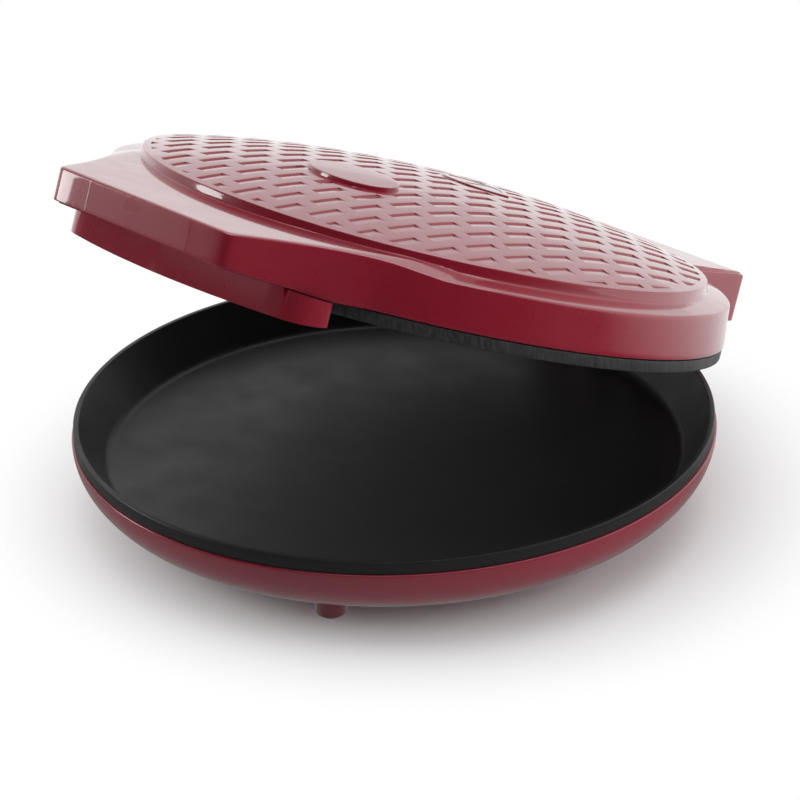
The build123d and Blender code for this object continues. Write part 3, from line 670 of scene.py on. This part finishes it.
def build_bezel():
    """Rim round the two lenses: the section is laid out from the outer oval to the inner one, all the
    way round, with a bar across between the lenses."""
    count = 160
    t = np.linspace(0, 2 * math.pi, count, endpoint=False)
    side = np.where(t < math.pi, 1.0, -1.0)[:, None]
    s = np.cos(t)[:, None]
    section = np.array([(0, -PLATE_DEEP), (0, 0.35), (0.05, 0.6), (0.14, 0.7), (0.5, 0.7), (0.86, 0.7),
                        (0.96, 0.62), (1, 0.4), (1, -PLATE_DEEP), (0.5, -PLATE_DEEP)])
    inner_x = (LAMP_HALF - RIM_TIP) * s
    outer_x = LAMP_HALF * s
    w = section[None, :, 0]
    x = outer_x + (inner_x - outer_x) * w
    y = side * (lamp_half_width(outer_x) * (1 - w) + lamp_half_width(inner_x, -RIM_WIDE) * w) + LAMP_Y
    z = crown_height(x, y) + section[None, :, 1]
    ring = np.stack([x, y, z], -1)
    faces = [grid_faces(count, len(section), True, True)]
    bar_y = np.linspace(-9.7, 9.7, 15)[:, None] + LAMP_Y
    bar = np.array([(-BAR_HALF, -PLATE_DEEP), (-BAR_HALF, 0.5), (-0.8, 0.66), (0.8, 0.66),
                    (BAR_HALF, 0.5), (BAR_HALF, -PLATE_DEEP)])
    bx = np.broadcast_to(bar[None, :, 0], (15, 6))
    by = np.broadcast_to(bar_y, (15, 6))
    bar_points = np.stack([bx, by, crown_height(bx, by) + bar[None, :, 1]], -1)
    start = ring.shape[0] * ring.shape[1]
    faces.append(grid_faces(15, 6, False, True, start))
    for first in (start, start + 14 * 6):
        faces.append(np.array([[0, 1, 4, 5], [1, 2, 3, 4]]) + first)
    points = np.concatenate([ring.reshape(-1, 3), bar_points.reshape(-1, 3)])
    made = piece("lamp_window_rim", on_lid(points), faces, cover_red, "lid", 40.0)
    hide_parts("lamp_bezel")


build_bezel()


# Plate, pan and base. Outlines are (radius, height, corner radius) in order round the section.

PLATE_R = 158.8
upper = [(0, 62.3, 0), (139.5, 62.3, 4.0), (147, 50.3, 1.2), (PLATE_R, 50.3, 0.9),
         (PLATE_R, 56.2, 0.5), (151, 56.2, 1.0), (145.2, 66.3, 1.0), (0, 66.3, 0)]
made = lathe("upper_plate_cast", rounded(upper), plate_black, "lid", on_lid)
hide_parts("upper_plate")

PAN_R = 161.0
pan = [(0, 27.5, 0), (145.0, 27.5, 6.0), (158.2, 49.6, 0.5), (158.6, 50.0, 0.2), (160.6, 50.0, 0.4),
       (PAN_R, 49.5, 0.3), (PAN_R, 43.5, 0.3), (157.6, 43.5, 1.0), (148.0, 24.5, 2.0), (0, 24.5, 0)]
made = lathe("pan_cast", rounded(pan), pan_black, "base", on_base)
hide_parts("baking_pan")

CASING_R = 162.0
BOWL_MIDDLE_R = 122.0            # the bowl's section is a quarter of an ellipse about this point
BOWL_MIDDLE_Z = 43.0
BOWL_WIDE = 40.0
BOWL_DEEP = 31.0
BOWL_WALL = 2.5
bowl_turn = np.radians(np.linspace(0, 90, 40))[:, None]
outer_bowl = np.hstack([BOWL_MIDDLE_R + BOWL_WIDE * np.cos(bowl_turn),
                        BOWL_MIDDLE_Z - BOWL_DEEP * np.sin(bowl_turn)])
inner_bowl = np.hstack([BOWL_MIDDLE_R + (BOWL_WIDE - BOWL_WALL) * np.cos(bowl_turn),
                        BOWL_MIDDLE_Z - (BOWL_DEEP - BOWL_WALL) * np.sin(bowl_turn)])[::-1]
bowl_rim = rounded([(159.5, 43.0, 0), (159.5, 43.45, 0.3), (CASING_R, 43.45, 0.6), (CASING_R, 42.4, 0)])
bowl_foot = rounded([(110, 12, 0), (102, 12, 0.4), (102, 14.5, 0.4), (110, 14.5, 0)])
bowl = np.concatenate([bowl_rim, outer_bowl[1:], bowl_foot, inner_bowl[:-1]])
made = lathe("casing_bowl", bowl, casing_red, "base", on_base, 320)
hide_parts("base_casing")

ROUND_SIDES = 64
FOOT_X = 62
FOOT_Y = 106
KNUCKLE_R = 8.0
ARM_SPANS = [(-21.0, -9.0), (9.0, 21.0)]
INLET_Z = 28.0
INLET_ASIDE = 48.0               # distance of the inlet from the middle plane, on the casing's edge


def build_feet():
    """Four turned feet: a straight side with a rounded lower edge, open where the pad sits."""
    section = rounded([(0, 2.4, 0), (5.5, 2.4, 0), (5.5, 0.8, 0.2), (7.8, 0.8, 1.6), (7.8, 17.0, 0),
                       (0, 17.0, 0)])
    turn = np.linspace(0, 2 * math.pi, ROUND_SIDES, endpoint=False)[:, None]
    r = section[None, :, 0]
    z = np.broadcast_to(section[None, :, 1], (ROUND_SIDES, len(section)))
    points = []
    faces = []
    places = [(-FOOT_X, -FOOT_Y), (FOOT_X, -FOOT_Y), (-FOOT_X, FOOT_Y), (FOOT_X, FOOT_Y)]
    for k, (x, y) in enumerate(places):
        points.append(np.stack([r * np.cos(turn) + x, r * np.sin(turn) + y, z], -1).reshape(-1, 3))
        start = k * ROUND_SIDES * len(section)
        faces.append(grid_faces(ROUND_SIDES, len(section), True, True, start))
    made = piece("casing_feet", on_base(np.concatenate(points)), faces, casing_red, "base")


build_feet()


def build_arms():
    """Two arms that carry the pin: from the bowl's back, up to a round knuckle."""
    knuckle = np.radians(np.linspace(128, -61, 26))[:, None]
    knuckle = np.hstack([HINGE_Y + KNUCKLE_R * np.cos(knuckle), HINGE_Z + KNUCKLE_R * np.sin(knuckle)])
    outline = np.concatenate([[(151.0, 43.0), (162.5, 43.0)], knuckle, [(165.0, 25.0), (152.0, 21.0)]])
    made = prism("hinge_arms", outline, ARM_SPANS, casing_red, "base", on_base)


build_arms()


def build_inlet():
    """Boss for the cord's sleeve, turned about a level axis to the left of the hinge."""
    section = rounded([(9.0, 150.0, 0), (9.0, 161.0, 0.6), (5.5, 161.0, 0.3), (5.5, 150.0, 0)])
    turn = np.linspace(0, 2 * math.pi, ROUND_SIDES, endpoint=False)[:, None]
    across = section[None, :, 0] * np.cos(turn)
    up = section[None, :, 0] * np.sin(turn) + INLET_Z
    out = np.broadcast_to(section[None, :, 1], across.shape)
    aside = math.asin(INLET_ASIDE / CASING_R)
    x = across * math.cos(aside) - out * math.sin(aside)
    y = across * math.sin(aside) + out * math.cos(aside)
    faces = grid_faces(ROUND_SIDES, len(section), True, True)
    made = piece("cord_boss", on_base(np.stack([x, y, up], -1)), [faces], casing_red, "base")


build_inlet()

made = smooth_copy("lid_frame", "lid_inner_frame", cover_red, "lid")

finishes = {
    "base_bottom_cover": cover_black, "cord_grommet": rubber_black, "terminal_block": block_white,
    "lower_heating_element": tube_steel, "upper_heating_element": tube_steel,
    "lower_reflector": sheet_steel, "upper_reflector": sheet_steel,
    "lower_thermostat": ceramic_tan, "upper_thermostat": ceramic_tan,
    "lower_thermal_fuse": screw_steel, "upper_thermal_fuse": screw_steel, "lamp_board": board_tan,
    "red_lamp": lens_red, "green_lamp": lens_green,
}
for node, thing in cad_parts.items():
    finish = finishes.get(node)
    if finish is None and ("screws" in node or node == "hinge_pin"):
        finish = screw_steel
    if finish is None and node.startswith("foot_pad"):
        finish = rubber_black
    if finish is not None:
        thing.data.materials.clear()
        thing.data.materials.append(finish)


# Floor, light and camera

BACKDROP = (-0.35, 0.94, 0.0)    # direction of the white backdrop, behind the hinge
BRIGHT = 1.0                     # level of the backdrop in gloss
DIM = 0.05                       # level of the room in front
NEAR_LEVEL = 0.24                # level of the floor close to the object in gloss
FLOOR_HALF = 9


def map_range(nodes, links, source, from_low, from_high, to_low, to_high):
    """A smooth step between two values of a source."""
    step = nodes.new("ShaderNodeMapRange")
    step.interpolation_type = "SMOOTHSTEP"
    step.inputs["From Min"].default_value = from_low
    step.inputs["From Max"].default_value = from_high
    step.inputs["To Min"].default_value = to_low
    step.inputs["To Max"].default_value = to_high
    links.new(source, step.inputs["Value"])
    return step.outputs["Result"]


def combine(nodes, links, operation, first, second):
    """A Math node on two values."""
    made = nodes.new("ShaderNodeMath")
    made.operation = operation
    links.new(first, made.inputs[0])
    links.new(second, made.inputs[1])
    return made.outputs["Value"]


def build_floor():
    """A flat floor. Lamps light it near the object, where it takes the shadow. The camera sees it
    plain white farther away. Gloss sees it white behind the object, grey close to it, and dim in
    front."""
    mesh = bpy.data.meshes.new("floor")
    half = FLOOR_HALF
    mesh.from_pydata([(-half, -half, 0), (half, -half, 0), (half, half, 0), (-half, half, 0)],
                     [], [(0, 1, 2, 3)])
    floor = bpy.data.objects.new("floor", mesh)
    bpy.context.scene.collection.objects.link(floor)
    material, nodes, links, shader = new_material("floor_white")
    shader.inputs["Base Color"].default_value = (0.86, 0.86, 0.87, 1)
    shader.inputs["Roughness"].default_value = 0.5
    shader.inputs["Specular IOR Level"].default_value = 0.2
    place = nodes.new("ShaderNodeTexCoord")
    far = nodes.new("ShaderNodeVectorMath")
    far.operation = "LENGTH"
    links.new(place.outputs["Object"], far.inputs[0])
    behind = nodes.new("ShaderNodeVectorMath")
    behind.operation = "DOT_PRODUCT"
    behind.inputs[1].default_value = BACKDROP
    links.new(place.outputs["Object"], behind.inputs[0])
    seen = map_range(nodes, links, far.outputs["Value"], 0.125, 0.235, 0.0, 1.0)
    back_level = map_range(nodes, links, behind.outputs["Value"], -0.05, 0.3, DIM, BRIGHT)
    near_level = map_range(nodes, links, far.outputs["Value"], 0.2, 0.4, NEAR_LEVEL, 0.0)
    level = combine(nodes, links, "MAXIMUM", back_level, near_level)
    path = nodes.new("ShaderNodeLightPath")
    by_camera = nodes.new("ShaderNodeEmission")
    by_gloss = nodes.new("ShaderNodeEmission")
    links.new(level, by_gloss.inputs["Strength"])
    for_camera = combine(nodes, links, "MULTIPLY", seen, path.outputs["Is Camera Ray"])
    for_gloss = combine(nodes, links, "MAXIMUM", path.outputs["Is Glossy Ray"],
                        path.outputs["Is Transmission Ray"])
    first = nodes.new("ShaderNodeMixShader")
    links.new(for_camera, first.inputs["Fac"])
    links.new(shader.outputs["BSDF"], first.inputs[1])
    links.new(by_camera.outputs["Emission"], first.inputs[2])
    second = nodes.new("ShaderNodeMixShader")
    links.new(for_gloss, second.inputs["Fac"])
    links.new(first.outputs["Shader"], second.inputs[1])
    links.new(by_gloss.outputs["Emission"], second.inputs[2])
    links.new(second.outputs["Shader"], nodes["Material Output"].inputs["Surface"])
    mesh.materials.append(material)


def build_world():
    """White wherever the camera looks. For every other ray it runs from white behind the object to
    dim in front."""
    world = bpy.data.worlds.new("studio")
    bpy.context.scene.world = world
    world.use_nodes = True
    nodes, links = world.node_tree.nodes, world.node_tree.links
    nodes.clear()
    path = nodes.new("ShaderNodeLightPath")
    place = nodes.new("ShaderNodeTexCoord")
    toward = nodes.new("ShaderNodeVectorMath")
    toward.operation = "DOT_PRODUCT"
    toward.inputs[1].default_value = BACKDROP
    links.new(place.outputs["Generated"], toward.inputs[0])
    sweep = map_range(nodes, links, toward.outputs["Value"], -0.3, 0.5, DIM, BRIGHT)
    room = nodes.new("ShaderNodeBackground")
    strength = combine(nodes, links, "MAXIMUM", path.outputs["Is Camera Ray"], sweep)
    links.new(strength, room.inputs["Strength"])
    out = nodes.new("ShaderNodeOutputWorld")
    links.new(room.outputs["Background"], out.inputs["Surface"])


def area_light(name, place, aim, size, power, in_gloss=True):
    """A rectangular lamp at a place in metres, turned to its aim. One that isn't in gloss only
    fills: it gives no highlight."""
    lamp = bpy.data.lights.new(name, "AREA")
    lamp.shape = "RECTANGLE"
    lamp.size, lamp.size_y = size
    lamp.energy = power
    thing = bpy.data.objects.new(name, lamp)
    bpy.context.scene.collection.objects.link(thing)
    thing.visible_glossy = in_gloss
    away = np.array(place, float) - np.array(aim, float)
    away /= np.linalg.norm(away)
    side = np.cross([0, 0, 1], away)
    side /= np.linalg.norm(side)
    up = np.cross(away, side)
    turn = np.eye(4)
    turn[:3, :3] = np.stack([side, up, away], 1)
    turn[:3, 3] = place
    thing.matrix_world = mathutils.Matrix(turn.tolist())
    return thing


build_floor()
build_world()
area_light("sky_panel", (0.1, 0.1, 1.6), (0, 0, 0.1), (1.5, 1.5), 9.5)
area_light("left_card", (-1.15, -0.93, 0.42), (0, -0.1, 0.12), (0.35, 0.8), 4.5)
area_light("left_fill", (-1.25, -0.65, 0.5), (0, -0.1, 0.12), (1.1, 1.0), 9.0, in_gloss=False)
area_light("right_fill", (1.35, 0.45, 0.6), (0.1, 0, 0.1), (1.1, 1.0), 12.0, in_gloss=False)


CAMERA_PLACE = (1.21183, -1.20547, 0.89284)
CAMERA_RIGHT = (0.708034, 0.705798, -0.023161)
CAMERA_UP = (-0.298523, 0.328870, 0.895951)
CAMERA_FORWARD = (-0.639978, 0.627450, -0.443549)


def build_camera():
    """The camera of the photograph, from a fit to the rims: its place, its three axes and a long
    lens without shift."""
    camera = bpy.data.cameras.new("camera")
    camera.sensor_width = 36.0
    camera.lens = 169.38
    camera.clip_end = 50.0
    thing = bpy.data.objects.new("camera", camera)
    bpy.context.scene.collection.objects.link(thing)
    turn = np.eye(4)
    turn[:3, :3] = np.stack([CAMERA_RIGHT, CAMERA_UP, -np.array(CAMERA_FORWARD)], 1)
    turn[:3, 3] = CAMERA_PLACE
    thing.matrix_world = mathutils.Matrix(turn.tolist())
    bpy.context.scene.camera = thing


build_camera()
bpy.context.scene.view_settings.view_transform = "Standard"
